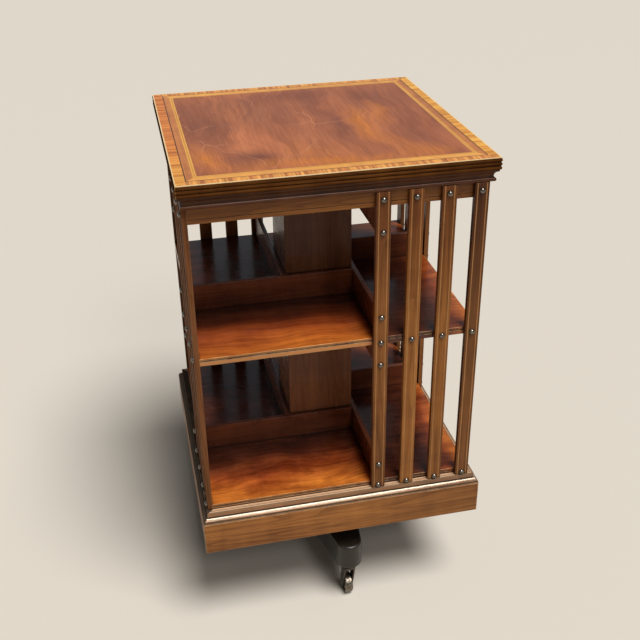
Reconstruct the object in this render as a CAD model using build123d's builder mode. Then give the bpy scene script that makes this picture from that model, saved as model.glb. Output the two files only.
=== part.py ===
"""Revolving bookcase in inlaid mahogany: a two-tier case that turns on a post above a castored cross base."""

import os

from build123d import *

os.makedirs("parts", exist_ok=True)

# All sizes are in millimetres. The floor is z = 0 and the case turns about the Z axis.

# Castors, which trail inwards along the arms at rest
castor_height = 90.0
wheel_diameter = 40.0
wheel_width = 15.0
wheel_round = 2.5
wheel_dish = 1.5
wheel_hub_diameter = 15.0
wheel_rim = 4.0
axle_diameter = 5.0
rivet_show = 1.0
castor_trail = 12.0
cheek_thickness = 2.5
cheek_room = 0.5
axle_boss_diameter = 14.0
crown_diameter = 24.0
crown_thickness = 10.0
fork_web = 5.0
horn_top_share = 0.85
stem_diameter = 10.0
stem_length = 26.0
socket_wall = 2.5
socket_room = 2.0
socket_cap = 2.0
socket_lip = 5.5
socket_lip_thickness = 6.0

# Cross base, with the angle in degrees that it is turned to under the case
base_turn = 3.6
arm_thickness = 50.0
arm_end_diameter = 50.0
arm_root_diameter = 130.0
arm_round = 5.0
castor_circle = 450.0

# Post and pivot
post_diameter = 46.0
tenon_diameter = 36.0
flange_diameter = 120.0
flange_thickness = 14.0
flange_screw_circle = 88.0
flange_screw_diameter = 5.0
flange_screw_head = 10.0
flange_screw_length = 46.0
pin_diameter = 18.0
pin_depth = 45.0
pin_stand = 24.0
pin_engagement = 6.0
pivot_plate_diameter = 84.0
pivot_plate_thickness = 10.0
pivot_screw_circle = 64.0
pivot_screw_diameter = 4.0
pivot_screw_head = 8.0
pivot_screw_length = 24.0
bush_wall = 6.0
bush_lip = 9.0
bush_lip_thickness = 3.0
post_room = 7.0

# Case in plan
case_side = 470.0
top_overhang = 15.0
plinth_projection = 19.0
column_side = 120.0
column_thickness = 9.0
rail_thickness = 8.5
rail_round = 1.0
frieze_thickness = 18.0
bearer_thickness = 16.0

# Case in height, from the running room above the arms up to the veneer
case_gap = 48.0
plinth_height = 63.0
moulding_height = 19.0
board_show = 10.0
lower_tier = 285.5
shelf_thickness = 13.0
upper_tier = 233.0
frieze_show = 26.0
cornice_height = 20.5
core_thickness = 19.0
veneer_thickness = 1.0
board_thickness = 13.0
bearer_height = 30.0

# Book-stop rails
low_rail_height = 48.0
lower_high_rail_drop = 47.5
upper_high_rail_drop = 52.5
low_rail_stud_inset = 7.0
high_rail_stud_inset = 11.0

# Slats, their boxwood lines and their studs
slat_count = 4
slat_width = 24.0
slat_thickness = 8.5
slat_round = 0.8
slat_line_width = 1.6
slat_line_depth = 0.8
slat_line_inset = 3.6
stud_head_diameter = 10.0
stud_head_height = 4.6
stud_collar = 1.0
stud_shank_diameter = 4.0
stud_grip = 16.0

# Mouldings, reeds and scratched grooves
reed_count = 3
reed_depth = 2.0
lipping_width = 8.0
cornice_projection = 12.5
cornice_lip = 3.0
cornice_neck = 6.0
bead_height = 7.0
bead_swell = 3.4
ledge_margin = 2.6
ledge_height = 9.6
plinth_lip = 3.0
plinth_lip_set = 0.9
quirk = 0.9
ledge_groove_width = 1.5
ledge_groove_depth = 1.2
ledge_groove_shares = (0.25, 0.5, 0.75)
groove_width = 1.4
groove_depth = 1.2
board_groove_drop = 4.0
frieze_groove_rise = 6.5
hollow_mid_share = 0.29
ovolo_mid_share = 0.58

# Top inlay, from the edge inwards
edge_line_width = 1.6
crossband_width = 15.0
inner_line_width = 1.6
inner_band_width = 11.0
chequer_width = 5.6

# Fits
running_clearance = 0.05
fixed_clearance = 0.03
thrust_gap = 0.1
drill_clearance = 0.1
stud_room = 0.3

# Levels
arm_bottom = castor_height
arm_top = arm_bottom + arm_thickness
lap_level = arm_bottom + arm_thickness / 2
plinth_bottom = arm_top + case_gap
plinth_top = plinth_bottom + plinth_height
moulding_top = plinth_top + moulding_height
board_top = moulding_top + board_show
board_bottom = board_top - board_thickness
shelf_bottom = board_top + lower_tier
shelf_top = shelf_bottom + shelf_thickness
frieze_bottom = shelf_top + upper_tier
cornice_bottom = frieze_bottom + frieze_show
core_bottom = cornice_bottom + cornice_height
veneer_bottom = core_bottom + core_thickness
top_level = veneer_bottom + veneer_thickness
plate_bottom = core_bottom - pivot_plate_thickness
post_top = plate_bottom - pin_stand

# Distances from the turning axis
case_half = case_side / 2
slat_face = case_half + slat_thickness
plinth_half = case_half + plinth_projection
top_half = case_half + top_overhang
column_half = column_side / 2
castor_radius = castor_circle / 2
post_radius = post_diameter / 2
socket_radius = stem_diameter / 2 + running_clearance + socket_wall

# Slats stand evenly between the rail's end and the corner of the case.
first_slat = column_half + rail_thickness / 2
last_slat = case_half - slat_width / 2
slat_pitch = (last_slat - first_slat) / (slat_count - 1)
slat_columns = [first_slat + slat * slat_pitch for slat in range(slat_count)]

# Heights of the studs: three on every slat, and four more where a rail ends behind the first slat.
frieze_stud = frieze_bottom + frieze_show / 2
shelf_stud = shelf_bottom + shelf_thickness / 2
board_stud = moulding_top + stud_head_diameter / 2 + stud_room
upper_high_stud = frieze_bottom - upper_high_rail_drop + high_rail_stud_inset
upper_low_stud = shelf_top + low_rail_height - low_rail_stud_inset
lower_high_stud = shelf_bottom - lower_high_rail_drop + high_rail_stud_inset
lower_low_stud = board_top + low_rail_height - low_rail_stud_inset
slat_stud_heights = [frieze_stud, shelf_stud, board_stud]
rail_stud_heights = [upper_high_stud, upper_low_stud, lower_high_stud, lower_low_stud]

quarter_turn = 90
quarter_turns = {"front": 0, "right": quarter_turn, "back": 2 * quarter_turn, "left": 3 * quarter_turn}


def save(node_name, *pieces):
    """Label one piece, or a set of like pieces, and write it as one STEP file."""
    node = pieces[0] if len(pieces) == 1 else Compound(children=list(pieces))
    node.label = node_name
    export_step(node, f"parts/{node_name}.step")


def around(piece):
    """Copies of a front piece on all four faces of the case."""
    return [piece.rotate(Axis.Z, turn) for turn in quarter_turns.values()]


def mitre_ends():
    """Cut a front piece at both ends on the upright planes through the corners."""
    for side in (1, -1):
        split(bisect_by=Plane((0, 0, 0), x_dir=(0, 0, 1), z_dir=(side, 1, 0)), keep=Keep.BOTTOM)


def stud_seats(columns, heights, turns=(0,)):
    """Planes on the slats' outer faces, looking outwards, one for each stud."""
    seats = [Plane((x, -slat_face, z), z_dir=(0, -1, 0)) for x in columns for z in heights]
    return [Plane(seat.location.position.rotate(Axis.Z, turn), z_dir=seat.z_dir.rotate(Axis.Z, turn))
            for turn in turns for seat in seats]


def drill_studs(seats):
    """Drill the studs' holes in the piece in hand."""
    with Locations(*seats):
        Cylinder(stud_shank_diameter / 2 + drill_clearance, slat_thickness + stud_grip + drill_clearance,
                 align=(Align.CENTER, Align.CENTER, Align.MAX), mode=Mode.SUBTRACT)


# Cross base: two arms half-lapped at the middle, with round ends over the castors.
def draw_arm(turn):
    """Plan of one arm, swelling from the round ends to the middle."""
    with PolarLocations(castor_radius, 2, start_angle=turn):
        Circle(arm_end_diameter / 2)
    Circle(arm_root_diameter / 2)
    make_hull()


def make_arm(turn, lap_bottom):
    """One arm of the cross, with the half that the other arm takes cut away from lap_bottom up."""
    with BuildPart() as arm:
        with BuildSketch(Plane.XY.offset(arm_bottom)):
            draw_arm(turn)
        extrude(amount=arm_thickness)
        fillet(arm.edges().group_by(Axis.Z)[-1], arm_round)
        with BuildSketch(Plane.XY.offset(lap_bottom)):
            draw_arm(turn + quarter_turn)
        extrude(amount=arm_thickness / 2, mode=Mode.SUBTRACT)
        with Locations((0, 0, arm_bottom)):
            Cylinder(tenon_diameter / 2 + fixed_clearance, arm_thickness,
                     align=(Align.CENTER, Align.CENTER, Align.MIN), mode=Mode.SUBTRACT)
        with BuildSketch(Plane.XY.offset(arm_bottom)):
            with PolarLocations(castor_radius, 2, start_angle=turn):
                Circle(socket_radius + fixed_clearance)
        extrude(amount=stem_length + socket_room + socket_cap, mode=Mode.SUBTRACT)
        with BuildSketch(Plane.XY.offset(arm_top)):
            with PolarLocations(flange_screw_circle / 2, 4, start_angle=quarter_turn / 2):
                Circle(flange_screw_diameter / 2 + drill_clearance)
        extrude(amount=flange_thickness - flange_screw_length - drill_clearance, mode=Mode.SUBTRACT)
    return arm.part


save("base_arm_lower", make_arm(quarter_turn, lap_level).rotate(Axis.Z, base_turn))
save("base_arm_upper", make_arm(0, arm_bottom).rotate(Axis.Z, base_turn))

# Post: a turned pole, tenoned down through the lap, with a hole in its head for the pivot pin.
with BuildPart() as post:
    with BuildSketch(Plane.XY.offset(arm_bottom)):
        Circle(tenon_diameter / 2)
    extrude(amount=arm_thickness)
    with BuildSketch(Plane.XY.offset(arm_top)):
        Circle(post_radius)
    extrude(amount=post_top - arm_top)
    with BuildSketch(Plane.XY.offset(post_top)):
        Circle(pin_diameter / 2 + fixed_clearance)
    extrude(amount=-pin_depth, mode=Mode.SUBTRACT)
save("post", post.part)

# Flange round the foot of the post, and the four countersunk screws that hold it to the cross.
with BuildPart() as post_flange:
    with BuildSketch(Plane.XY.offset(arm_top)):
        Circle(flange_diameter / 2)
        Circle(post_radius + fixed_clearance, mode=Mode.SUBTRACT)
    extrude(amount=flange_thickness)
    with Locations((0, 0, arm_top + flange_thickness)):
        with PolarLocations(flange_screw_circle / 2, 4, start_angle=quarter_turn / 2):
            CounterSinkHole(flange_screw_diameter / 2 + drill_clearance,
                            flange_screw_head / 2 + drill_clearance, flange_thickness)
save("post_flange", post_flange.part.rotate(Axis.Z, base_turn))


def wood_screw(diameter, head_diameter, length):
    """Countersunk screw, its flat head at the origin and its point down."""
    head_depth = (head_diameter - diameter) / 2
    with BuildPart() as screw:
        with BuildSketch(Plane.XZ):
            with BuildLine():
                Polyline((0, 0), (head_diameter / 2, 0), (diameter / 2, -head_depth),
                         (diameter / 2, diameter - length), (0, -length), close=True)
            make_face()
        revolve(axis=Axis.Z)
    return screw.part


flange_screw = wood_screw(flange_screw_diameter, flange_screw_head, flange_screw_length)
with PolarLocations(flange_screw_circle / 2, 4, start_angle=quarter_turn / 2 + base_turn) as flange_ring:
    flange_screw_places = flange_ring.local_locations
save("flange_screws", *[flange_screw.moved(Location((0, 0, arm_top + flange_thickness)) * place)
                        for place in flange_screw_places])

# Pivot pin in the post's head, which carries the whole case.
with BuildPart() as pivot_pin:
    with BuildSketch(Plane.XY.offset(post_top - pin_depth)):
        Circle(pin_diameter / 2)
    extrude(amount=pin_depth + pin_stand + pin_engagement - thrust_gap)
save("pivot_pin", pivot_pin.part)

# Castor sockets: a closed tube with a lip, driven up into the end of each arm.
with BuildPart() as castor_socket:
    with BuildSketch(Plane.XY.offset(arm_bottom)):
        with Locations((0, -castor_radius)):
            Circle(socket_radius)
    extrude(amount=stem_length + socket_room + socket_cap)
    with BuildSketch(Plane.XY.offset(arm_bottom)):
        with Locations((0, -castor_radius)):
            Circle(socket_radius + socket_lip)
    extrude(amount=-socket_lip_thickness)
    with BuildSketch(Plane.XY.offset(arm_bottom - socket_lip_thickness)):
        with Locations((0, -castor_radius)):
            Circle(stem_diameter / 2 + running_clearance)
    extrude(amount=socket_lip_thickness + stem_length + socket_room, mode=Mode.SUBTRACT)
save("castor_sockets", *around(castor_socket.part.rotate(Axis.Z, base_turn)))

# Castor forks: a stem that swivels in the socket, a round crown and two raked cheeks.
crown_top = arm_bottom - socket_lip_thickness - thrust_gap
crown_bottom = crown_top - crown_thickness
axle_height = wheel_diameter / 2
wheel_y = castor_trail - castor_radius
fork_gap = wheel_width + 2 * cheek_room
fork_width = fork_gap + 2 * cheek_thickness
horn_reach = horn_top_share * crown_diameter / 2
boss_radius = axle_boss_diameter / 2

with BuildPart() as castor_fork:
    with BuildSketch(Plane.YZ):
        with BuildLine():
            Polyline((horn_reach - castor_radius, crown_bottom), (-horn_reach - castor_radius, crown_bottom),
                     (wheel_y - boss_radius, axle_height), (wheel_y + boss_radius, axle_height), close=True)
        make_face()
        with Locations((wheel_y, axle_height)):
            Circle(boss_radius)
    extrude(amount=fork_width / 2, both=True)
    with Locations((0, wheel_y, 0)):
        Box(fork_gap, 2 * (castor_trail + crown_diameter), crown_bottom - fork_web,
            align=(Align.CENTER, Align.CENTER, Align.MIN), mode=Mode.SUBTRACT)
    with BuildSketch(Plane.XY.offset(crown_top)):
        with Locations((0, -castor_radius)):
            Circle(crown_diameter / 2)
    extrude(amount=-crown_thickness)
    with BuildSketch(Plane.XY.offset(crown_top)):
        with Locations((0, -castor_radius)):
            Circle(stem_diameter / 2)
    extrude(amount=socket_lip_thickness + thrust_gap + stem_length)
    with BuildSketch(Plane.YZ):
        with Locations((wheel_y, axle_height)):
            Circle(axle_diameter / 2 + fixed_clearance)
    extrude(amount=fork_width, both=True, mode=Mode.SUBTRACT)

# Castor wheels: crowned at the rim, dished on both sides, and bored to run on the axle.
wheel_plane = Plane((0, wheel_y, axle_height), x_dir=(0, 1, 0), z_dir=(1, 0, 0))
with BuildPart() as castor_wheel:
    with BuildSketch(wheel_plane):
        Circle(wheel_diameter / 2)
    extrude(amount=wheel_width / 2, both=True)
    fillet(castor_wheel.edges().filter_by(GeomType.CIRCLE), wheel_round)
    for side in (1, -1):
        with BuildSketch(wheel_plane.offset(side * wheel_width / 2)):
            Circle(wheel_diameter / 2 - wheel_rim)
            Circle(wheel_hub_diameter / 2, mode=Mode.SUBTRACT)
        extrude(amount=-side * wheel_dish, mode=Mode.SUBTRACT)
    with BuildSketch(wheel_plane):
        Circle(axle_diameter / 2 + running_clearance)
    extrude(amount=wheel_width, both=True, mode=Mode.SUBTRACT)

# Castor axles: plain pins, riveted through both cheeks.
with BuildPart() as castor_axle:
    with BuildSketch(wheel_plane):
        Circle(axle_diameter / 2)
    extrude(amount=fork_width / 2 + rivet_show, both=True)

castor_pieces = {"fork": castor_fork, "wheel": castor_wheel, "axle": castor_axle}
for face, turn in quarter_turns.items():
    for piece_name, piece in castor_pieces.items():
        save(f"castor_{piece_name}_{face}", piece.part.rotate(Axis.Z, turn + base_turn))

# Plinth boards, mitred at the corners.
with BuildPart() as plinth_board:
    with Locations((0, -plinth_half, plinth_bottom)):
        Box(2 * plinth_half, plinth_projection, plinth_height, align=(Align.CENTER, Align.MIN, Align.MIN))
    fillet(plinth_board.edges().filter_by(Axis.X).group_by(Axis.Y)[0].sort_by(Axis.Z)[0], rail_round)
    mitre_ends()
save("plinth_boards", *around(plinth_board.part))

# Plinth moulding: a lip, an ovolo and a narrow grooved ledge that the slats stand on.
ledge = slat_thickness + ledge_margin
ovolo_foot = plinth_projection - plinth_lip_set
ovolo_head = ledge + quirk
ovolo_top = moulding_height - ledge_height
with BuildPart() as plinth_moulding:
    with BuildSketch(Plane(origin=(0, -case_half, plinth_top), x_dir=(0, -1, 0), z_dir=(-1, 0, 0))):
        with BuildLine():
            Polyline((ledge, moulding_height), (0, moulding_height), (0, 0), (plinth_projection, 0),
                     (plinth_projection, plinth_lip), (ovolo_foot, plinth_lip))
            ThreePointArc((ovolo_foot, plinth_lip),
                          (ovolo_head + ovolo_mid_share * (ovolo_foot - ovolo_head),
                           plinth_lip + ovolo_mid_share * (ovolo_top - plinth_lip)),
                          (ovolo_head, ovolo_top))
            Polyline((ovolo_head, ovolo_top), (ledge, ovolo_top), (ledge, moulding_height))
        make_face()
    extrude(amount=plinth_half, both=True)
    with Locations(*[(0, -case_half - share * ledge, moulding_top) for share in ledge_groove_shares]):
        Box(2 * plinth_half, ledge_groove_width, 2 * ledge_groove_depth, mode=Mode.SUBTRACT)
    mitre_ends()
save("plinth_moulding", *around(plinth_moulding.part))

# Bearers inside the plinth, end to side in turn, which carry the bottom board.
with BuildPart() as plinth_bearer:
    with Locations((-case_half, -case_half, board_bottom)):
        Box(case_side - bearer_thickness, bearer_thickness, bearer_height,
            align=(Align.MIN, Align.MIN, Align.MAX))
save("plinth_bearers", *around(plinth_bearer.part))


def edge_groove(board_level):
    """The ring of wood that is scratched out of all four edges of a board, below its top."""
    with BuildPart() as groove:
        with BuildSketch(Plane.XY.offset(board_level - board_groove_drop)):
            Rectangle(case_side, case_side)
            Rectangle(case_side - 2 * groove_depth, case_side - 2 * groove_depth, mode=Mode.SUBTRACT)
        extrude(amount=-groove_width)
    return groove.part


# Bottom board, with a groove scratched along each edge and a hole for the bush.
bush_radius = post_radius + running_clearance + bush_wall
with BuildPart() as bottom_board:
    with Locations((0, 0, board_bottom)):
        Box(case_side, case_side, board_thickness, align=(Align.CENTER, Align.CENTER, Align.MIN))
    with Locations((0, 0, board_bottom)):
        Cylinder(bush_radius + fixed_clearance, board_thickness,
                 align=(Align.CENTER, Align.CENTER, Align.MIN), mode=Mode.SUBTRACT)
    add(edge_groove(board_top), mode=Mode.SUBTRACT)
    drill_studs(stud_seats(slat_columns, [board_stud], quarter_turns.values()))
save("bottom_board", bottom_board.part)

# Brass bush, lipped under the bottom board, that keeps the case upright on the post.
with BuildPart() as lower_bush:
    with BuildSketch(Plane.XY.offset(board_bottom)):
        Circle(bush_radius)
    extrude(amount=board_thickness)
    with BuildSketch(Plane.XY.offset(board_bottom)):
        Circle(bush_radius + bush_lip)
    extrude(amount=-bush_lip_thickness)
    with BuildSketch(Plane.XY.offset(board_bottom - bush_lip_thickness)):
        Circle(post_radius + running_clearance)
    extrude(amount=bush_lip_thickness + board_thickness, mode=Mode.SUBTRACT)
save("lower_bush", lower_bush.part)

# Middle shelf, with a groove scratched along each edge and room for the post.
with BuildPart() as middle_shelf:
    with Locations((0, 0, shelf_bottom)):
        Box(case_side, case_side, shelf_thickness, align=(Align.CENTER, Align.CENTER, Align.MIN))
    with Locations((0, 0, shelf_bottom)):
        Cylinder(post_radius + post_room, shelf_thickness,
                 align=(Align.CENTER, Align.CENTER, Align.MIN), mode=Mode.SUBTRACT)
    add(edge_groove(shelf_top), mode=Mode.SUBTRACT)
    drill_studs(stud_seats(slat_columns, [shelf_stud], quarter_turns.values()))
save("middle_shelf", middle_shelf.part)


# Columns: four boards, side to end in turn, boxed round the post in each tier.
def make_column(bottom, top):
    """The four boards of one tier's column."""
    with BuildPart() as column_panel:
        with Locations((-column_half, -column_half, bottom)):
            Box(column_side - column_thickness, column_thickness, top - bottom,
                align=(Align.MIN, Align.MIN, Align.MIN))
    return around(column_panel.part)


save("column_lower", *make_column(board_top, shelf_bottom))
save("column_upper", *make_column(shelf_top, core_bottom))


# Book-stop rails: each starts behind the first slat of a face, passes the column and ends on the next rail.
def make_rails(bottom, top, free_edge, studs):
    """Four rails of one height, rounded along the free edge (0 the lower one, -1 the upper one)."""
    with BuildPart() as rail:
        with Locations((column_half, -case_half, bottom)):
            Box(rail_thickness, case_half + column_half, top - bottom,
                align=(Align.MIN, Align.MIN, Align.MIN))
        fillet(rail.edges().filter_by(Axis.Y).group_by(Axis.Z)[free_edge], rail_round)
        if top > frieze_bottom:
            with Locations((column_half, -case_half, frieze_bottom)):
                Box(rail_thickness, frieze_thickness, top - frieze_bottom,
                    align=(Align.MIN, Align.MIN, Align.MIN), mode=Mode.SUBTRACT)
        drill_studs(stud_seats([first_slat], studs))
    return around(rail.part)


save("low_rails_lower", *make_rails(board_top, board_top + low_rail_height, -1, [lower_low_stud]))
save("low_rails_upper", *make_rails(shelf_top, shelf_top + low_rail_height, -1, [upper_low_stud]))
save("high_rails_lower", *make_rails(shelf_bottom - lower_high_rail_drop, shelf_bottom, 0, [lower_high_stud]))
save("high_rails_upper", *make_rails(frieze_bottom - upper_high_rail_drop, core_bottom, 0, [upper_high_stud]))

# Frieze rails under the top, mitred, with a bead marked off by a groove near the lower edge.
with BuildPart() as frieze_rail:
    with Locations((0, -case_half, frieze_bottom)):
        Box(case_side, frieze_thickness, frieze_show + cornice_height,
            align=(Align.CENTER, Align.MIN, Align.MIN))
    with Locations((0, -case_half, frieze_bottom + frieze_groove_rise)):
        Box(case_side, groove_depth, groove_width,
            align=(Align.CENTER, Align.MIN, Align.MIN), mode=Mode.SUBTRACT)
    mitre_ends()
    drill_studs(stud_seats(slat_columns, [frieze_stud], quarter_turns.values()))
save("frieze_rails", *around(frieze_rail.part))

# Slats, each grooved for two boxwood lines and drilled for its studs.
slat_length = cornice_bottom - moulding_top
line_offset = slat_width / 2 - slat_line_inset - slat_line_width / 2
for number, column in enumerate(slat_columns, start=1):
    with BuildPart() as slat:
        with Locations((column, -slat_face, moulding_top)):
            Box(slat_width, slat_thickness, slat_length, align=(Align.CENTER, Align.MIN, Align.MIN))
        fillet(slat.edges().filter_by(Axis.Z).group_by(Axis.Y)[0], slat_round)
        for side in (-1, 1):
            with Locations((column + side * line_offset, -slat_face, moulding_top)):
                Box(slat_line_width, slat_line_depth, slat_length,
                    align=(Align.CENTER, Align.MIN, Align.MIN), mode=Mode.SUBTRACT)
        drill_studs(stud_seats([column], slat_stud_heights + (rail_stud_heights if number == 1 else [])))
    for face, turn in quarter_turns.items():
        save(f"slat_{face}_{number}", slat.part.rotate(Axis.Z, turn))

# Boxwood lines let into the slats, flush with their faces.
slat_lines = []
for column in slat_columns:
    for side in (-1, 1):
        with BuildPart() as slat_line:
            with Locations((column + side * line_offset, -slat_face, moulding_top)):
                Box(slat_line_width, slat_line_depth, slat_length, align=(Align.CENTER, Align.MIN, Align.MIN))
        slat_lines += around(slat_line.part)
save("slat_lines", *slat_lines)

# Studs: domed heads on a low collar, with a shank through the slat into what it holds.
head_radius = stud_head_diameter / 2
with BuildPart() as stud:
    with BuildSketch(Plane.XZ):
        with BuildLine():
            Polyline((0, stud_head_height), (0, -slat_thickness - stud_grip),
                     (stud_shank_diameter / 2, -slat_thickness - stud_grip), (stud_shank_diameter / 2, 0),
                     (head_radius, 0), (head_radius, stud_collar))
            TangentArc((0, stud_head_height), (head_radius, stud_collar), tangent=(1, 0))
        make_face()
    revolve(axis=Axis.Z)
seats = stud_seats(slat_columns, slat_stud_heights, quarter_turns.values())
seats += stud_seats([first_slat], rail_stud_heights, quarter_turns.values())
save("slat_studs", *[stud.part.moved(seat.location) for seat in seats])

# Cornice moulding under the top: a lip, a hollow and a bead.
hollow_top = cornice_height - cornice_lip
with BuildPart() as cornice:
    with BuildSketch(Plane(origin=(0, -case_half, cornice_bottom), x_dir=(0, -1, 0), z_dir=(-1, 0, 0))):
        with BuildLine():
            Polyline((cornice_neck, 0), (0, 0), (0, cornice_height), (cornice_projection, cornice_height),
                     (cornice_projection, hollow_top))
            ThreePointArc((cornice_projection, hollow_top),
                          (cornice_neck + hollow_mid_share * (cornice_projection - cornice_neck),
                           hollow_top - hollow_mid_share * (hollow_top - bead_height)),
                          (cornice_neck, bead_height))
            ThreePointArc((cornice_neck, bead_height), (cornice_neck + bead_swell, bead_height / 2),
                          (cornice_neck, 0))
        make_face()
    extrude(amount=case_half + cornice_projection, both=True)
    mitre_ends()
save("cornice_moulding", *around(cornice.part))

# Top board, bored from below for the pivot plate's screws.
core_half = top_half - lipping_width
with BuildPart() as top_board:
    with Locations((0, 0, core_bottom)):
        Box(2 * core_half, 2 * core_half, core_thickness, align=(Align.CENTER, Align.CENTER, Align.MIN))
    with BuildSketch(Plane.XY.offset(core_bottom)):
        with PolarLocations(pivot_screw_circle / 2, 4):
            Circle(pivot_screw_diameter / 2 + drill_clearance)
    extrude(amount=pivot_screw_length - pivot_plate_thickness + drill_clearance, mode=Mode.SUBTRACT)
save("top_board", top_board.part)

# Lipping round the top board, reeded along its edge and mitred.
reed_height = core_thickness / reed_count
with BuildPart() as top_lipping:
    with BuildSketch(Plane(origin=(0, -core_half, core_bottom), x_dir=(0, -1, 0), z_dir=(-1, 0, 0))):
        with BuildLine():
            Polyline((lipping_width - reed_depth, core_thickness), (0, core_thickness), (0, 0),
                     (lipping_width - reed_depth, 0))
            for reed in range(reed_count):
                ThreePointArc((lipping_width - reed_depth, reed * reed_height),
                              (lipping_width, reed * reed_height + reed_height / 2),
                              (lipping_width - reed_depth, (reed + 1) * reed_height))
        make_face()
    extrude(amount=top_half, both=True)
    mitre_ends()
save("top_lipping", *around(top_lipping.part))


# Veneers laid on the top, mitred at the corners, from the boxwood edge line in to the centre panel.
def laid_strips(outer, width):
    """Four mitred strips of veneer, their outer edges at a distance from the turning axis."""
    with BuildPart() as strip:
        with Locations((0, -outer, veneer_bottom)):
            Box(2 * outer, width, veneer_thickness, align=(Align.CENTER, Align.MIN, Align.MIN))
        mitre_ends()
    return around(strip.part)


veneer_half = top_half - reed_depth / 2
crossband_half = veneer_half - edge_line_width
inner_line_half = crossband_half - crossband_width
inner_band_half = inner_line_half - inner_line_width
chequer_half = inner_band_half - inner_band_width
panel_half = chequer_half - chequer_width
save("top_boxwood_lines", *laid_strips(veneer_half, edge_line_width),
     *laid_strips(inner_line_half, inner_line_width))
save("top_crossbanding", *laid_strips(crossband_half, crossband_width))
save("top_inner_band", *laid_strips(inner_band_half, inner_band_width))
save("top_chequer_line", *laid_strips(chequer_half, chequer_width))
with BuildPart() as top_panel:
    with Locations((0, 0, veneer_bottom)):
        Box(2 * panel_half, 2 * panel_half, veneer_thickness, align=(Align.CENTER, Align.CENTER, Align.MIN))
save("top_panel", top_panel.part)

# Pivot plate under the top board, its blind socket sitting on the pin, and the screws that hold it.
with BuildPart() as pivot_plate:
    with BuildSketch(Plane.XY.offset(plate_bottom)):
        Circle(pivot_plate_diameter / 2)
    extrude(amount=pivot_plate_thickness)
    with BuildSketch(Plane.XY.offset(plate_bottom)):
        Circle(pin_diameter / 2 + running_clearance)
    extrude(amount=pin_engagement, mode=Mode.SUBTRACT)
    with Locations(Plane((0, 0, plate_bottom), z_dir=(0, 0, -1))):
        with PolarLocations(pivot_screw_circle / 2, 4):
            CounterSinkHole(pivot_screw_diameter / 2 + drill_clearance,
                            pivot_screw_head / 2 + drill_clearance, pivot_plate_thickness)
save("pivot_plate", pivot_plate.part)

pivot_screw = wood_screw(pivot_screw_diameter, pivot_screw_head, pivot_screw_length)
with PolarLocations(pivot_screw_circle / 2, 4) as pivot_ring:
    pivot_screw_places = pivot_ring.local_locations
save("pivot_screws", *[pivot_screw.moved(Location(Plane((0, 0, plate_bottom), z_dir=(0, 0, -1))) * place)
                       for place in pivot_screw_places])
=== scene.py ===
"""Looks of the revolving bookcase: inlaid mahogany case on a black cross base, dressed piece by piece."""

import math

import bmesh
import bpy
from mathutils import Matrix, Vector

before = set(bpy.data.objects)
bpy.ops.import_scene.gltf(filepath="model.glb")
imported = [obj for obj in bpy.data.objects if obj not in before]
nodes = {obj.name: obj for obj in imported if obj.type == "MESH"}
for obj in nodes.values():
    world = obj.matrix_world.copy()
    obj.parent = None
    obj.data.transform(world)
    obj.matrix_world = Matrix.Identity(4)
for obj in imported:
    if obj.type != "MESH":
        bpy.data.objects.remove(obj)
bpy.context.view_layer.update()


# Cross base: two hardwood arms, half-lapped at the middle and glued, stained black and
# polished. The black has rubbed thin along the arrises and on the round ends, where
# shoes and brooms catch it, and some brown shows through.
def put(tree, kind, feeds=None, **settings):
    """Add one node to a tree, with its settings, its plain inputs and its links."""
    node = tree.nodes.new(kind)
    for name, value in settings.items():
        setattr(node, name, value)
    for name, value in (feeds or {}).items():
        if isinstance(value, bpy.types.NodeSocket):
            tree.links.new(value, node.inputs[name])
        else:
            node.inputs[name].default_value = value
    return node


def reckon(tree, operation, *values, clamp=False):
    """Add one Math node and give its result."""
    return put(tree, "ShaderNodeMath", dict(enumerate(values)), operation=operation, use_clamp=clamp).outputs[0]


def spread(tree, value, low, high, to_low=0.0, to_high=1.0):
    """Bring a value's range from low and high to new ends, and stop it there."""
    return put(tree, "ShaderNodeMapRange", {0: value, 1: low, 2: high, 3: to_low, 4: to_high}).outputs[0]


def mixed(tree, share, first, second, how="MIX"):
    """Mix two colours by a share."""
    return put(tree, "ShaderNodeMix", {0: share, 6: first, 7: second}, data_type="RGBA", blend_type=how).outputs[2]


def streaks(tree, place, stretch, detail, roughness=0.5):
    """Noise drawn out or pressed together along each direction, in cycles a metre."""
    drawn = put(tree, "ShaderNodeMapping", {"Vector": place, "Scale": stretch}).outputs[0]
    return put(tree, "ShaderNodeTexNoise",
               {"Vector": drawn, "Scale": 1.0, "Detail": detail, "Roughness": roughness}).outputs[0]


def new_group(name, inputs, outputs):
    """An empty shader node group with its sockets made."""
    group = bpy.data.node_groups.new(name, "ShaderNodeTree")
    for socket, kind in inputs.items():
        group.interface.new_socket(socket, in_out="INPUT", socket_type=f"NodeSocket{kind}")
    for socket, kind in outputs.items():
        group.interface.new_socket(socket, in_out="OUTPUT", socket_type=f"NodeSocket{kind}")
    return group, group.nodes.new("NodeGroupInput").outputs, group.nodes.new("NodeGroupOutput").inputs


def place_group(tree, group, **feeds):
    """Place a node group in a material and give its outputs."""
    return put(tree, "ShaderNodeGroup", feeds, node_tree=group).outputs


def new_material(name, **plain):
    """A material with a Principled BSDF whose plain values are set, and the object's own coordinates."""
    material = bpy.data.materials.new(name)
    material.use_nodes = True
    tree = material.node_tree
    shader = tree.nodes["Principled BSDF"].inputs
    for socket, value in plain.items():
        shader[socket.replace("_", " ")].default_value = value
    return material, tree, shader, put(tree, "ShaderNodeTexCoord").outputs["Object"]


def dress(material, *names):
    """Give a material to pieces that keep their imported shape."""
    for name in names:
        mesh = nodes[name].data
        mesh.materials.clear()
        mesh.materials.append(material)


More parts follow.
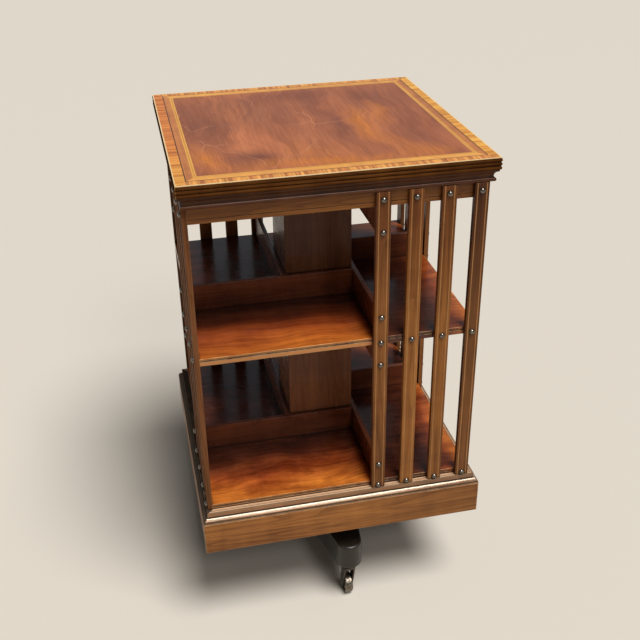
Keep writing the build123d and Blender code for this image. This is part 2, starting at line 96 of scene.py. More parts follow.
def lay_on(tree, shader, colour, noise, polish, normal=None, ends=(0.3, 0.7)):
    """Feed a shader its colour, a roughness that follows a noise, and its normal where the surface has relief."""
    tree.links.new(colour, shader["Base Color"])
    tree.links.new(spread(tree, noise, *ends, *polish), shader["Roughness"])
    if normal is not None:
        tree.links.new(normal, shader["Normal"])


hollow_reach, relief, corner_samples = 0.006, 0.0004, 6
grime_and_shade_black = (0.012, 0.006, 0.004, 1)
wear_highlight_and_shade, given, gives = new_group(
    "wear_highlight_and_shade",
    {"Place": "Vector", "Color": "Color", "Worn": "Color", "Amount": "Float", "Grime": "Float", "Width": "Float",
     "Height": "Float"},
    {"Color": "Color", "Normal": "Vector"})
rounded = put(wear_highlight_and_shade, "ShaderNodeBevel", {"Radius": given["Width"]}, samples=corner_samples).outputs[0]
flat = put(wear_highlight_and_shade, "ShaderNodeNewGeometry").outputs["Normal"]
agree = put(wear_highlight_and_shade, "ShaderNodeVectorMath", {0: rounded, 1: flat}, operation="DOT_PRODUCT").outputs["Value"]
openness = put(wear_highlight_and_shade, "ShaderNodeAmbientOcclusion", {"Distance": hollow_reach},
               samples=corner_samples).outputs["AO"]
# Convex arrises are mixed towards the pale worn colour: wear, and on the shelf boards and the top's lipping a painted
# highlight.
edge = reckon(wear_highlight_and_shade, "MULTIPLY", spread(wear_highlight_and_shade, agree, 0.985, 0.80), spread(wear_highlight_and_shade, openness, 0.72, 0.92))
patchy = spread(wear_highlight_and_shade, streaks(wear_highlight_and_shade, given["Place"], (40, 40, 40), 5, 0.65), 0.38, 0.62)
rubbed_and_highlit = reckon(wear_highlight_and_shade, "MULTIPLY", reckon(wear_highlight_and_shade, "MULTIPLY", edge, patchy), given["Amount"], clamp=True)
# Hollows that ambient occlusion finds are darkened towards black: grime, and painted shade in corners, grooves and
# quirks.
grimy_shaded_hollows = reckon(wear_highlight_and_shade, "MULTIPLY", spread(wear_highlight_and_shade, openness, 0.86, 0.45), given["Grime"], clamp=True)
grimed_and_shaded = mixed(wear_highlight_and_shade, grimy_shaded_hollows, given["Color"], grime_and_shade_black)
wear_highlight_and_shade.links.new(mixed(wear_highlight_and_shade, rubbed_and_highlit, grimed_and_shaded, given["Worn"]), gives["Color"])
bumped = put(wear_highlight_and_shade, "ShaderNodeBump",
             {"Strength": 1.0, "Distance": relief, "Height": given["Height"], "Normal": rounded})
wear_highlight_and_shade.links.new(bumped.outputs[0], gives["Normal"])

ebonised, tree, shader, place = new_material("ebonised", Specular_IOR_Level=0.35, Coat_Weight=0.1, Coat_Roughness=0.2)
brush = streaks(tree, place, (60, 60, 60), 4, 0.6)
dusty = spread(tree, streaks(tree, place, (9, 9, 9), 3), 0.4, 0.65)
black = mixed(tree, dusty, (0.006, 0.0055, 0.006, 1), (0.022, 0.015, 0.009, 1))
edged = place_group(tree, wear_highlight_and_shade, Place=place, Color=black, Worn=(0.10, 0.05, 0.026, 1), Amount=0.45,
                    Grime=0.5, Width=0.0022, Height=reckon(tree, "MULTIPLY", brush, 0.25))
lay_on(tree, shader, edged["Color"], brush, (0.24, 0.42), edged["Normal"])
dress(ebonised, "base_arm_lower", "base_arm_upper")


# Castors: brass sockets driven up into the arms, dark iron forks that swivel in them,
# riveted steel axles, and metal wheels whose treads are rubbed bright by the floor
# while their sides keep a dull brown skin.
sides = ("front", "right", "back", "left")
iron, tree, shader, place = new_material("dark_iron", Metallic=0.85)
cast = streaks(tree, place, (420, 420, 420), 4, 0.6)
iron_tone = mixed(tree, spread(tree, streaks(tree, place, (70, 70, 70), 4), 0.4, 0.62),
                  (0.035, 0.031, 0.029, 1), (0.085, 0.06, 0.042, 1))
edged = place_group(tree, wear_highlight_and_shade, Place=place, Color=iron_tone, Worn=(0.30, 0.26, 0.21, 1), Amount=0.7,
                    Grime=0.8, Width=0.0006, Height=reckon(tree, "MULTIPLY", cast, 0.2))
lay_on(tree, shader, edged["Color"], cast, (0.34, 0.55), edged["Normal"])
dress(iron, *[f"castor_fork_{side}" for side in sides])

wheel_metal, tree, shader, place = new_material("rubbed_wheel", Metallic=0.9)
scuffs = streaks(tree, place, (330, 330, 330), 4, 0.7)
tread = mixed(tree, spread(tree, scuffs, 0.42, 0.58), (0.30, 0.255, 0.20, 1), (0.07, 0.05, 0.036, 1))
edged = place_group(tree, wear_highlight_and_shade, Place=place, Color=tread, Worn=(0.42, 0.37, 0.30, 1), Amount=0.8,
                    Grime=0.8, Width=0.0008, Height=reckon(tree, "MULTIPLY", scuffs, 0.25))
lay_on(tree, shader, edged["Color"], scuffs, (0.28, 0.5), edged["Normal"])
dress(wheel_metal, *[f"castor_wheel_{side}" for side in sides])

steel, tree, shader, place = new_material("plain_steel", Metallic=1.0)
turned = streaks(tree, place, (300, 300, 900), 3)
turned_tone = mixed(tree, turned, (0.32, 0.31, 0.30, 1), (0.52, 0.51, 0.49, 1))
lay_on(tree, shader, turned_tone, turned, (0.26, 0.44))
dress(steel, *[f"castor_axle_{side}" for side in sides])

brass, tree, shader, place = new_material("turned_brass", Metallic=1.0)
tarnish = streaks(tree, place, (90, 90, 240), 4, 0.6)
brass_tone = mixed(tree, spread(tree, tarnish, 0.35, 0.65), (0.60, 0.42, 0.16, 1), (0.26, 0.16, 0.06, 1))
lay_on(tree, shader, brass_tone, tarnish, (0.24, 0.46))
dress(brass, "castor_sockets")


# Post: a turned hardwood pole glued down through the lap, with an iron flange screwed
# round its foot and a steel pivot pin in its head. All of it is hidden by the case.
wood_grain, given, gives = new_group(
    "wood_grain",
    {"Along": "Vector", "Dark": "Color", "Light": "Color", "Ripple": "Float", "Contrast": "Float", "Rings": "Float"},
    {"Color": "Color", "Height": "Float", "Tone": "Float"})
bands = streaks(wood_grain, given["Along"], (1.8, 46, 46), 3, 0.55)
fibres = streaks(wood_grain, given["Along"], (7, 430, 430), 3, 0.6)
pores = streaks(wood_grain, given["Along"], (32, 1250, 1250), 1)
ripple = streaks(wood_grain, given["Along"], (46, 11, 11), 2)
clouds = streaks(wood_grain, given["Along"], (4, 6, 6), 2)
band_share, fibre_share, cloud_share = 0.42, 0.33, 0.25
ring_count, pore_darkness, fibre_height = 22.0, 0.42, 0.3
tone = reckon(wood_grain, "MULTIPLY_ADD", bands, band_share, reckon(wood_grain, "MULTIPLY", fibres, fibre_share))
tone = reckon(wood_grain, "MULTIPLY_ADD", clouds, cloud_share, tone)
tone = reckon(wood_grain, "MULTIPLY_ADD", reckon(wood_grain, "SUBTRACT", ripple, 0.5), given["Ripple"], tone)
tone = reckon(wood_grain, "MULTIPLY_ADD", reckon(wood_grain, "SUBTRACT", tone, 0.5), given["Contrast"], 0.5)
swirl = streaks(wood_grain, given["Along"], (0.9, 15, 15), 2)
growth = reckon(wood_grain, "FRACT", reckon(wood_grain, "MULTIPLY", swirl, ring_count))
late_wood = reckon(wood_grain, "MULTIPLY", spread(wood_grain, growth, 0.45, 0.95), given["Rings"])
tone = reckon(wood_grain, "SUBTRACT", tone, late_wood, clamp=True)
pore_marks = spread(wood_grain, pores, 0.59, 0.68)
plain_wood = mixed(wood_grain, tone, given["Dark"], given["Light"])
dark_pores = reckon(wood_grain, "MULTIPLY", pore_marks, pore_darkness)
raised_fibres = reckon(wood_grain, "MULTIPLY", fibres, fibre_height)
wood_grain.links.new(mixed(wood_grain, dark_pores, plain_wood, given["Dark"]), gives["Color"])
wood_grain.links.new(reckon(wood_grain, "SUBTRACT", raised_fibres, pore_marks), gives["Height"])
wood_grain.links.new(tone, gives["Tone"])


def upright(tree, place):
    """Turn the grain from along X to along Z."""
    return put(tree, "ShaderNodeMapping", {"Vector": place, "Rotation": (0, math.pi / 2, 0)}).outputs[0]


def polished_wood(name, run, dark, light, worn_and_highlight, ripple=0.25, contrast=3.4, rings=0.25, wear=0.7, grime_and_painted_shade=0.85,
                  width=0.0009, pore_depth=0.16, polish=(0.3, 0.44), gloss=0.2, coat=0.05, painted_light_and_shade=None,
                  dull=None):
    """Polished wood whose grain runs as a given function lays it, paler along its arrises, which is wear and on some
    pieces a painted highlight, and darker in its hollows, which is grime and painted shade.

    A function given to paint light and shade alters the colour from place to place, and one given as dull masks where
    the shine is lost.
    """
    material, tree, shader, place = new_material(name, Specular_IOR_Level=gloss, Coat_Weight=coat, Coat_Roughness=0.1)
    grain = place_group(tree, wood_grain, Along=run(tree, place), Dark=(*dark, 1), Light=(*light, 1), Ripple=ripple,
                        Contrast=contrast, Rings=rings)
    colour = painted_light_and_shade(tree, place, grain["Color"]) if painted_light_and_shade else grain["Color"]
    edged = place_group(tree, wear_highlight_and_shade, Place=place, Color=colour, Worn=(*worn_and_highlight, 1), Amount=wear,
                        Grime=grime_and_painted_shade, Width=width, Height=reckon(tree, "MULTIPLY", grain["Height"], pore_depth))
    if dull:
        lost = dull(tree, place)
        tree.links.new(spread(tree, lost, 0.0, 1.0, coat, 0.0), shader["Coat Weight"])
        lay_on(tree, shader, edged["Color"], lost, polish, edged["Normal"], ends=(0.0, 1.0))
    else:
        handled = streaks(tree, place, (14, 14, 14), 4, 0.6)
        lay_on(tree, shader, edged["Color"], handled, polish, edged["Normal"], ends=(0.35, 0.65))
    return material


post_wood = polished_wood("plain_post_wood", upright, (0.20, 0.11, 0.05), (0.36, 0.22, 0.11), (0.42, 0.28, 0.15),
                          polish=(0.5, 0.65), coat=0.0)
dress(post_wood, "post")
dress(iron, "post_flange")
dress(steel, "flange_screws", "pivot_pin")


# Plinth: four mahogany boards mitred at the corners and glued to pine bearers inside,
# with a moulding planted on top. The corners are rubbed pale and the moulding's round
# is polished bright by dusters.
def parted(tree, place):
    """A place's X, Y and Z."""
    return put(tree, "ShaderNodeSeparateXYZ", {0: place}).outputs


def joined(tree, x, y, z):
    """A place made from its X, Y and Z."""
    return put(tree, "ShaderNodeCombineXYZ", {0: x, 1: y, 2: z}).outputs[0]


def either(tree, mask, first, second):
    """The first value where a mask is nought and the second where it is one."""
    return put(tree, "ShaderNodeMix", {0: mask, 2: first, 3: second}, data_type="FLOAT").outputs[0]


board_shift = 0.35
mitred_grain, given, gives = new_group("mitred_grain", {"Place": "Vector"},
                                       {"Along": "Vector", "Across": "Vector", "Side": "Float", "Out": "Float"})
split = parted(mitred_grain, given["Place"])
wide = reckon(mitred_grain, "ABSOLUTE", split[0])
deep = reckon(mitred_grain, "ABSOLUTE", split[1])
on_side = reckon(mitred_grain, "GREATER_THAN", wide, deep)
lengthwise = either(mitred_grain, on_side, split[0], split[1])
outwards = either(mitred_grain, on_side, split[1], split[0])
shifted = reckon(mitred_grain, "MULTIPLY_ADD", reckon(mitred_grain, "SIGN", outwards), board_shift, lengthwise)
shifted = reckon(mitred_grain, "MULTIPLY_ADD", on_side, 2 * board_shift, shifted)
mitred_grain.links.new(joined(mitred_grain, shifted, outwards, split[2]), gives["Along"])
mitred_grain.links.new(joined(mitred_grain, outwards, shifted, split[2]), gives["Across"])
mitred_grain.links.new(on_side, gives["Side"])
mitred_grain.links.new(reckon(mitred_grain, "MAXIMUM", wide, deep), gives["Out"])


def mitred(tree, place):
    """Run the grain along each length of a mitred frame."""
    return place_group(tree, mitred_grain, Place=place)["Along"]


bearer_wood = polished_wood("bearer_pine", mitred, (0.30, 0.19, 0.09), (0.46, 0.32, 0.17), (0.5, 0.36, 0.2),
                            polish=(0.6, 0.75), coat=0.0)
dress(bearer_wood, "plinth_bearers")


def lit_towards_left(tree, place, colour):
    """Paint light on the boards, a little lighter towards the left and darker towards the right."""
    light_from, light_to, palest, deepest = -0.1, 0.15, 1.12, 0.84
    light = spread(tree, parted(tree, place)[0], light_from, light_to, palest, deepest)
    return mixed(tree, 1.0, colour, light, "MULTIPLY")


plinth_wood = polished_wood("plinth_mahogany", mitred, (0.12, 0.038, 0.007), (0.40, 0.152, 0.034), (0.62, 0.36, 0.16),
                            ripple=0.12, rings=0.28, wear=1.6, width=0.003, painted_light_and_shade=lit_towards_left)
dress(plinth_wood, "plinth_boards")


def left_length(tree, place):
    """Mask the left length of a mitred frame, which stands in the shade."""
    across = parted(tree, place)[0]
    on_side = place_group(tree, mitred_grain, Place=place)["Side"]
    return reckon(tree, "MULTIPLY", on_side, reckon(tree, "LESS_THAN", across, 0.0))


# Levels, lines and colours painted on the moulding: light on its open ledge, shade on its left length, and dark shade
# lines in the ledge's grooves and the quirks.
ledge_from, ledge_full = 0.2688, 0.2696
ledge_lines, line_half = (0.2406, 0.2455), 0.0009
quirks = ((0.2612, 0.0012), (0.2546, 0.0010))
ledge_light_share, groove_shade_share = 0.9, 0.92
groove_shade_brown, shaded_brown, lit_ledge_tan = (0.014, 0.006, 0.003, 1), (0.035, 0.014, 0.008, 1), (1.0, 0.60, 0.34, 1)


def ledge(tree, place):
    """Mask the level ledge on top of the moulding."""
    return spread(tree, parted(tree, place)[2], ledge_from, ledge_full)


def painted_groove_shade(tree, place):
    """Mask two lines along the ledge and the quirks above and below the round, where shade is painted."""
    height = parted(tree, place)[2]
    out = place_group(tree, mitred_grain, Place=place)["Out"]
    lines = [reckon(tree, "COMPARE", out, line, line_half) for line in ledge_lines]
    shade_lines = reckon(tree, "MULTIPLY", ledge(tree, place), reckon(tree, "MAXIMUM", *lines))
    for quirk, half in quirks:
        shade_lines = reckon(tree, "MAXIMUM", shade_lines, reckon(tree, "COMPARE", height, quirk, half))
    return shade_lines


def moulding_light_and_shade(tree, place, colour):
    """Paint shade on the left length, paint light on the ledge of the others, and lay painted shade lines over both."""
    shaded = left_length(tree, place)
    dark_left = mixed(tree, shaded, colour, shaded_brown)
    lit_ledge = reckon(tree, "MULTIPLY", ledge(tree, place), spread(tree, shaded, 0.0, 1.0, ledge_light_share, 0.0))
    painted_lit = mixed(tree, lit_ledge, dark_left, lit_ledge_tan)
    shade_lines = reckon(tree, "MULTIPLY", painted_groove_shade(tree, place), groove_shade_share)
    return mixed(tree, shade_lines, painted_lit, groove_shade_brown)


def lost_shine(tree, place):
    """Mask what has no polish left: the left length and the painted shade lines."""
    return reckon(tree, "MAXIMUM", left_length(tree, place), painted_groove_shade(tree, place))


moulding_wood = polished_wood("moulding_mahogany", mitred, (0.13, 0.042, 0.012), (0.34, 0.13, 0.042),
                              (0.66, 0.42, 0.24), grime_and_painted_shade=0.3, polish=(0.23, 0.9), gloss=1.0, coat=0.5, painted_light_and_shade=moulding_light_and_shade,
                              dull=lost_shine)
warm_shine = (1.0, 0.84, 0.58, 1)
moulding_wood.node_tree.nodes["Principled BSDF"].inputs["Specular Tint"].default_value = warm_shine
dress(moulding_wood, "plinth_moulding")


# Bottom board and middle shelf: wide mahogany boards, a groove scratched along each edge and a brass bush let into the
# lower one. A pool of light is painted in the open part of each face, fading inwards to painted shade behind the slats,
# with the front edges painted tan where it falls and painted shade in the grooves; their arrises are worn pale, partly
# as a painted highlight.
def swayed(tree, place, cycles, detail, reach):
    """Push a place about by a soft noise, so that what is drawn on it wanders."""
    sway = put(tree, "ShaderNodeTexNoise", {"Vector": place, "Scale": cycles, "Detail": detail}).outputs[1]
    sway = put(tree, "ShaderNodeVectorMath", {0: sway, 1: (0.5, 0.5, 0.5)}, operation="SUBTRACT").outputs[0]
    return put(tree, "ShaderNodeVectorMath", {0: sway, 1: reach, 2: place}, operation="MULTIPLY_ADD").outputs[0]


def wandering(tree, place):
    """Leave the grain along X, but let it wander from side to side."""
    return swayed(tree, place, 6.0, 2.0, (0.05, 0.07, 0.0))


board_level, shelf_level = 0.3, 0.55
case_half, edge_skin = 0.235, 0.00015
bay_end, bay_soft, front_reach, other_reach = 0.075, 0.04, 0.15, 0.06
palest_part, fade_curve, tan_share, groove_share = 0.05, 1.6, 0.75, 0.95
moulding_joint, grooves, groove_half, strip_half = 0.2722, (0.2753, 0.5738), 0.0014, 0.005
edge_tan, strip_gold, groove_shade = (0.46, 0.21, 0.072, 1), (0.26, 0.112, 0.026, 1), (0.035, 0.012, 0.005, 1)


def shelf_light_and_shade(tree, place, colour):
    """Paint a pool of light on the boards from the open part of each face inwards, painted shade behind it, tan edges
    where the light falls, and painted shade in the grooves.
    """
    across, back, height = parted(tree, place)
    crossed = reckon(tree, "MULTIPLY", across, -1.0)
    forwards = reckon(tree, "MULTIPLY", back, -1.0)
    mottle = spread(tree, streaks(tree, wandering(tree, place), (14, 36, 8), 4, 0.65), 0.36, 0.64)
    flecked = mixed(tree, mottle, (0.60, 0.52, 0.48, 1), (1.2, 1.3, 1.3, 1))
    colour = mixed(tree, spread(tree, height, board_level, shelf_level, 1.0, 0.4), colour, flecked, "MULTIPLY")
    uneven = spread(tree, streaks(tree, place, (9, 9, 9), 3), 0.3, 0.7, -0.02, 0.02)
    painted_lit = 0.0
    for along, inwards, reach in ((across, back, front_reach), (back, crossed, other_reach),
                                  (crossed, forwards, other_reach), (forwards, across, other_reach)):
        depth = reckon(tree, "ADD", inwards, reckon(tree, "ADD", uneven, case_half))
        fading = reckon(tree, "POWER", spread(tree, depth, reach, palest_part * reach), fade_curve)
        lit = reckon(tree, "MULTIPLY", spread(tree, along, bay_end, bay_soft), fading)
        painted_lit = reckon(tree, "MAXIMUM", painted_lit, lit)
    # Painted shade: where no light is painted the wood is tinted dark purple and half-lit parts rosy, and the middle
    # shelf takes less of the painted light than the bottom board.
    deep = mixed(tree, 1.0, colour, (0.14, 0.12, 0.34, 1), "MULTIPLY")
    outer = reckon(tree, "MAXIMUM", reckon(tree, "ABSOLUTE", across), reckon(tree, "ABSOLUTE", back))
    # The front edges are painted tan only where the pool of painted light reaches them.
    on_edge = reckon(tree, "GREATER_THAN", outer, case_half - edge_skin)
    tan = reckon(tree, "MULTIPLY", on_edge, reckon(tree, "MULTIPLY", painted_lit, tan_share))
    rosy = mixed(tree, 1.0, colour, (0.62, 0.42, 0.62, 1), "MULTIPLY")
    half_lit = mixed(tree, spread(tree, painted_lit, 0.0, 0.5), deep, rosy)
    full_light = spread(tree, height, board_level, shelf_level, 1.0, 0.8)
    shaded = mixed(tree, spread(tree, painted_lit, 0.4, 1.0, 0.0, full_light), half_lit, colour)
    # Painted shade under the board's foot where it meets the moulding, and in the grooves along the edges.
    shade_lines = reckon(tree, "LESS_THAN", height, moulding_joint)
    upper_strip = 0.0
    for groove in grooves:
        in_groove = reckon(tree, "COMPARE", height, groove, groove_half)
        above_groove = reckon(tree, "COMPARE", height, groove + strip_half, strip_half)
        shade_lines = reckon(tree, "MAXIMUM", shade_lines, in_groove)
        upper_strip = reckon(tree, "MAXIMUM", upper_strip, above_groove)
    edged = mixed(tree, tan, shaded, mixed(tree, upper_strip, edge_tan, strip_gold))
    return mixed(tree, reckon(tree, "MULTIPLY", shade_lines, groove_share), edged, groove_shade)


shelf_wood = polished_wood("shelf_mahogany", wandering, (0.19, 0.034, 0.007), (0.88, 0.255, 0.034),
                           (0.90, 0.58, 0.24), ripple=0.15, contrast=2.6, rings=0.0, wear=1.3, width=0.0014,
                           polish=(0.14, 0.24), gloss=0.3, painted_light_and_shade=shelf_light_and_shade)
dress(shelf_wood, "bottom_board", "middle_shelf")
dress(brass, "lower_bush")


# Columns and book stops: dark mahogany boards boxed round the post in each tier, and the
# rails that run past them, each from a slat to the next rail, which keep books from
# sliding through.
rail_middle, rail_half = 0.06425, 0.0046
pinwheel_grain, given, gives = new_group("pinwheel_grain", {"Place": "Vector"}, {"Along": "Vector"})
split = parted(pinwheel_grain, given["Place"])
in_band = [reckon(pinwheel_grain, "COMPARE", reckon(pinwheel_grain, "ABSOLUTE", part), rail_middle, rail_half)
           for part in split[:2]]
crossed = reckon(pinwheel_grain, "LESS_THAN", reckon(pinwheel_grain, "MULTIPLY", split[0], split[1]), 0.0)
turned_away = reckon(pinwheel_grain, "MULTIPLY", in_band[0], crossed)
runs_level = reckon(pinwheel_grain, "MULTIPLY", in_band[1], reckon(pinwheel_grain, "SUBTRACT", 1.0, turned_away))
along = either(pinwheel_grain, runs_level, split[1], split[0])
across = either(pinwheel_grain, runs_level, split[0], split[1])
pinwheel_grain.links.new(joined(pinwheel_grain, along, across, split[2]), gives["Along"])


def pinwheel(tree, place):
    """Run the grain along each rail, two of them one way and two the other."""
    return place_group(tree, pinwheel_grain, Place=place)["Along"]


# The upper column is given darker colours than the lower: painted shade under the top.
for tier, dark, light in (("lower", (0.105, 0.036, 0.014), (0.24, 0.092, 0.036)),
                          ("upper", (0.065, 0.022, 0.009), (0.15, 0.057, 0.023))):
    column_wood = polished_wood(f"{tier}_column_mahogany", upright, dark, light, (0.3, 0.15, 0.07), ripple=0.1,
                                contrast=2.4, gloss=0.15, polish=(0.2, 0.3))
    dress(column_wood, f"column_{tier}")
rail_wood = polished_wood("rail_mahogany", pinwheel, (0.08, 0.018, 0.007), (0.21, 0.058, 0.020),
                          (0.36, 0.18, 0.09), wear=0.6, gloss=0.2, polish=(0.22, 0.34))
dress(rail_wood, "low_rails_lower", "low_rails_upper", "high_rails_lower", "high_rails_upper")


# Frieze and slats: mitred rails under the top, and sixteen thin uprights screwed over the
# edges of frieze, shelf and bottom board, straight in the grain, each with two fine
# boxwood lines let in near its edges. Those on the left have lost their polish.
def shaded_towards_top(tree, place, colour):
    """Paint shade on the wood towards the top, where it stands in the shade of the cornice."""
    shade_from, shade_to, shade_tint = 0.62, 0.80, (0.62, 0.52, 0.48, 1)
    shade = spread(tree, parted(tree, place)[2], shade_from, shade_to)
    return mixed(tree, shade, colour, mixed(tree, 1.0, colour, shade_tint, "MULTIPLY"))


frieze_wood = polished_wood("frieze_mahogany", mitred, (0.10, 0.030, 0.005), (0.30, 0.105, 0.018),
                            (0.54, 0.29, 0.11), ripple=0.1, grime_and_painted_shade=0.0)
dress(frieze_wood, "frieze_rails")
for number, dark, light in ((1, (0.11, 0.036, 0.008), (0.31, 0.114, 0.027)),
                            (2, (0.17, 0.056, 0.011), (0.42, 0.166, 0.038)),
                            (3, (0.13, 0.043, 0.008), (0.34, 0.128, 0.028)),
                            (4, (0.08, 0.026, 0.007), (0.21, 0.078, 0.020))):
    slat_wood = polished_wood(f"slat_mahogany_{number}", upright, dark, light, (0.40, 0.20, 0.07), ripple=0.08,
                              wear=0.5, gloss=0.15, painted_light_and_shade=shaded_towards_top)
    dress(slat_wood, *[f"slat_{side}_{number}" for side in sides[:3]])
dull_wood = polished_wood("dull_slat_mahogany", upright, (0.085, 0.031, 0.012), (0.23, 0.092, 0.036),
                          (0.40, 0.22, 0.10), ripple=0.08, wear=0.8, polish=(0.6, 0.75), gloss=0.03, coat=0.0)
dress(dull_wood, *[f"slat_left_{number}" for number in range(1, 5)])
line_wood = polished_wood("slat_boxwood", upright, (0.27, 0.112, 0.032), (0.46, 0.215, 0.072), (0.5, 0.3, 0.12),
                          rings=0.1, wear=0.2)
dress(line_wood, "slat_lines")


# Studs: sixty-four domed brass nails, bronzed dark, driven through the slats into what
# they hold. The bronzing has rubbed thin on the crowns.
bronze, tree, shader, place = new_material("bronzed_studs", Metallic=1.0)
rub = streaks(tree, place, (300, 300, 300), 4, 0.6)
bronze_tone = mixed(tree, spread(tree, rub, 0.4, 0.65), (0.12, 0.10, 0.082, 1), (0.26, 0.22, 0.18, 1))
lay_on(tree, shader, bronze_tone, rub, (0.16, 0.28))
dress(bronze, "slat_studs")


# Cornice: a dark hollow moulding mitred round the case under the top, with a small bead
# at its lower edge.
cornice_wood = polished_wood("cornice_mahogany", mitred, (0.045, 0.013, 0.004), (0.13, 0.042, 0.012),
                             (0.30, 0.14, 0.05), wear=0.5, polish=(0.28, 0.4), gloss=0.15)
dress(cornice_wood, "cornice_moulding")


# Top: a pine board with a mitred mahogany lipping, reeded along the edge. Its veneers,
# from the edge inwards, are a boxwood line, satinwood crossbanding, a dark line, an
# inner band, a chequered line and a figured mahogany panel, all laid flush and polished.
dress(bearer_wood, "top_board")
# The lipping has no shine; its pale golden arrises are partly wear and partly painted highlight, and its hollows take
# painted shade.
lipping_wood = polished_wood("lipping_mahogany", mitred, (0.045, 0.014, 0.004), (0.14, 0.051, 0.012),
                             (0.80, 0.45, 0.14), wear=1.6, grime_and_painted_shade=1.2, width=0.0012, gloss=0.0, coat=0.0)
dress(lipping_wood, "top_lipping")

top_lines, tree, shader, place = new_material("top_stringing", Specular_IOR_Level=0.25)
frame_places = place_group(tree, mitred_grain, Place=place)
between_lines, dark_line = 0.24, (0.07, 0.03, 0.014, 1)
outer = reckon(tree, "GREATER_THAN", frame_places["Out"], between_lines)
grain = place_group(tree, wood_grain, Along=frame_places["Along"], Dark=(0.80, 0.53, 0.24, 1),
                    Light=(1.0, 0.80, 0.46, 1), Ripple=0.2, Contrast=3.0, Rings=0.0)
lay_on(tree, shader, mixed(tree, outer, dark_line, grain["Color"]), grain["Tone"], (0.28, 0.4), ends=(0.0, 1.0))
dress(top_lines, "top_boxwood_lines")

crossbanding, tree, shader, place = new_material("crossbanded_satinwood", Specular_IOR_Level=0.25)
frame_places = place_group(tree, mitred_grain, Place=place)
figure = streaks(tree, frame_places["Across"], (6, 300, 20), 3, 0.7)
bars = spread(tree, streaks(tree, frame_places["Across"], (5, 130, 10), 3, 0.6), 0.40, 0.66)
golden = mixed(tree, bars, (1.0, 0.50, 0.085, 1), (0.66, 0.22, 0.026, 1))
ruddy = mixed(tree, bars, (0.94, 0.42, 0.095, 1), (0.55, 0.165, 0.040, 1))
russet = mixed(tree, bars, (0.86, 0.285, 0.055, 1), (0.50, 0.13, 0.026, 1))
red_from, red_full = -0.22, -0.08
across, back, _ = parted(tree, place)
reddened = reckon(tree, "MULTIPLY", reckon(tree, "LESS_THAN", across, 0.0), spread(tree, back, red_from, red_full))
# The side lengths are painted ruddy and the front and back lengths golden, a painted sheen of the crossgrain.
base = mixed(tree, frame_places["Side"], ruddy, mixed(tree, reddened, golden, russet))
striped = mixed(tree, spread(tree, figure, 0.48, 0.66, 0.0, 0.72), base, (0.20, 0.055, 0.012, 1))
lay_on(tree, shader, striped, figure, (0.26, 0.4))
dress(crossbanding, "top_crossbanding")

inner_band, tree, shader, place = new_material("inner_band_mahogany", Specular_IOR_Level=0.25)
frame_places = place_group(tree, mitred_grain, Place=place)
grain = place_group(tree, wood_grain, Along=frame_places["Along"], Dark=(0.37, 0.112, 0.034, 1),
                    Light=(0.68, 0.255, 0.070, 1), Ripple=0.3, Contrast=3.2, Rings=0.1)
light_grain = place_group(tree, wood_grain, Along=frame_places["Along"], Dark=(0.66, 0.26, 0.060, 1),
                          Light=(1.0, 0.50, 0.10, 1), Ripple=0.3, Contrast=3.2, Rings=0.1)
# The front and back lengths take the lighter grain and the side lengths the darker, a painted sheen.
band_tone = mixed(tree, frame_places["Side"], light_grain["Color"], grain["Color"])
lay_on(tree, shader, band_tone, grain["Tone"], (0.26, 0.38), ends=(0.0, 1.0))
dress(inner_band, "top_inner_band")

chequer, tree, shader, place = new_material("chequered_line", Specular_IOR_Level=0.25)
frame_places = place_group(tree, mitred_grain, Place=place)
run = parted(tree, frame_places["Along"])[0]
line_middle, dash_length, core_half = 0.217, 0.0016, 0.0013
off_centre = reckon(tree, "SUBTRACT", frame_places["Out"], line_middle)
slanted = reckon(tree, "ADD", run, off_centre)
dash = reckon(tree, "GREATER_THAN", reckon(tree, "PINGPONG", slanted, dash_length), dash_length / 2)
core = reckon(tree, "LESS_THAN", reckon(tree, "ABSOLUTE", off_centre), core_half)
grain = place_group(tree, wood_grain, Along=frame_places["Along"], Dark=(0.68, 0.29, 0.045, 1),
                    Light=(0.96, 0.52, 0.10, 1), Ripple=0.2, Contrast=3.0, Rings=0.0)
dashed = mixed(tree, reckon(tree, "MULTIPLY", dash, core), grain["Color"], (0.40, 0.14, 0.028, 1))
lay_on(tree, shader, dashed, grain["Tone"], (0.26, 0.38), ends=(0.0, 1.0))
dress(chequer, "top_chequer_line")

panel, tree, shader, place = new_material("flame_mahogany", Specular_IOR_Level=0.25)
bent = swayed(tree, place, 7.0, 3.0, (0.10, 0.10, 0.0))
clouds = streaks(tree, bent, (6, 2.6, 2), 3, 0.55)
flames = streaks(tree, bent, (30, 5, 5), 3, 0.55)
ribbons = streaks(tree, bent, (120, 6, 6), 3, 0.6)
fibres = streaks(tree, place, (520, 13, 13), 3, 0.6)
figure = mixed(tree, spread(tree, clouds, 0.30, 0.68), (0.29, 0.084, 0.036, 1), (0.64, 0.205, 0.074, 1))


def plume(figure, middle, reach, turn, colour, amount):
    """Lay one soft tongue of the crotch figure over the panel's colour."""
    own = put(tree, "ShaderNodeMapping", {"Vector": bent, "Location": (*middle, 0), "Scale": (*reach, 1),
                                          "Rotation": (0, 0, math.radians(turn))}, vector_type="TEXTURE").outputs[0]
    own = put(tree, "ShaderNodeVectorMath", {0: own, 1: (1, 1, 0)}, operation="MULTIPLY").outputs[0]
    far = put(tree, "ShaderNodeVectorMath", {0: own}, operation="LENGTH").outputs["Value"]
    feathered = spread(tree, flames, 0.25, 0.6, 0.35, 1.0)
    mask = reckon(tree, "MULTIPLY", spread(tree, far, 1.0, 0.15, 0.0, amount), feathered)
    return mixed(tree, mask, figure, (*colour, 1))


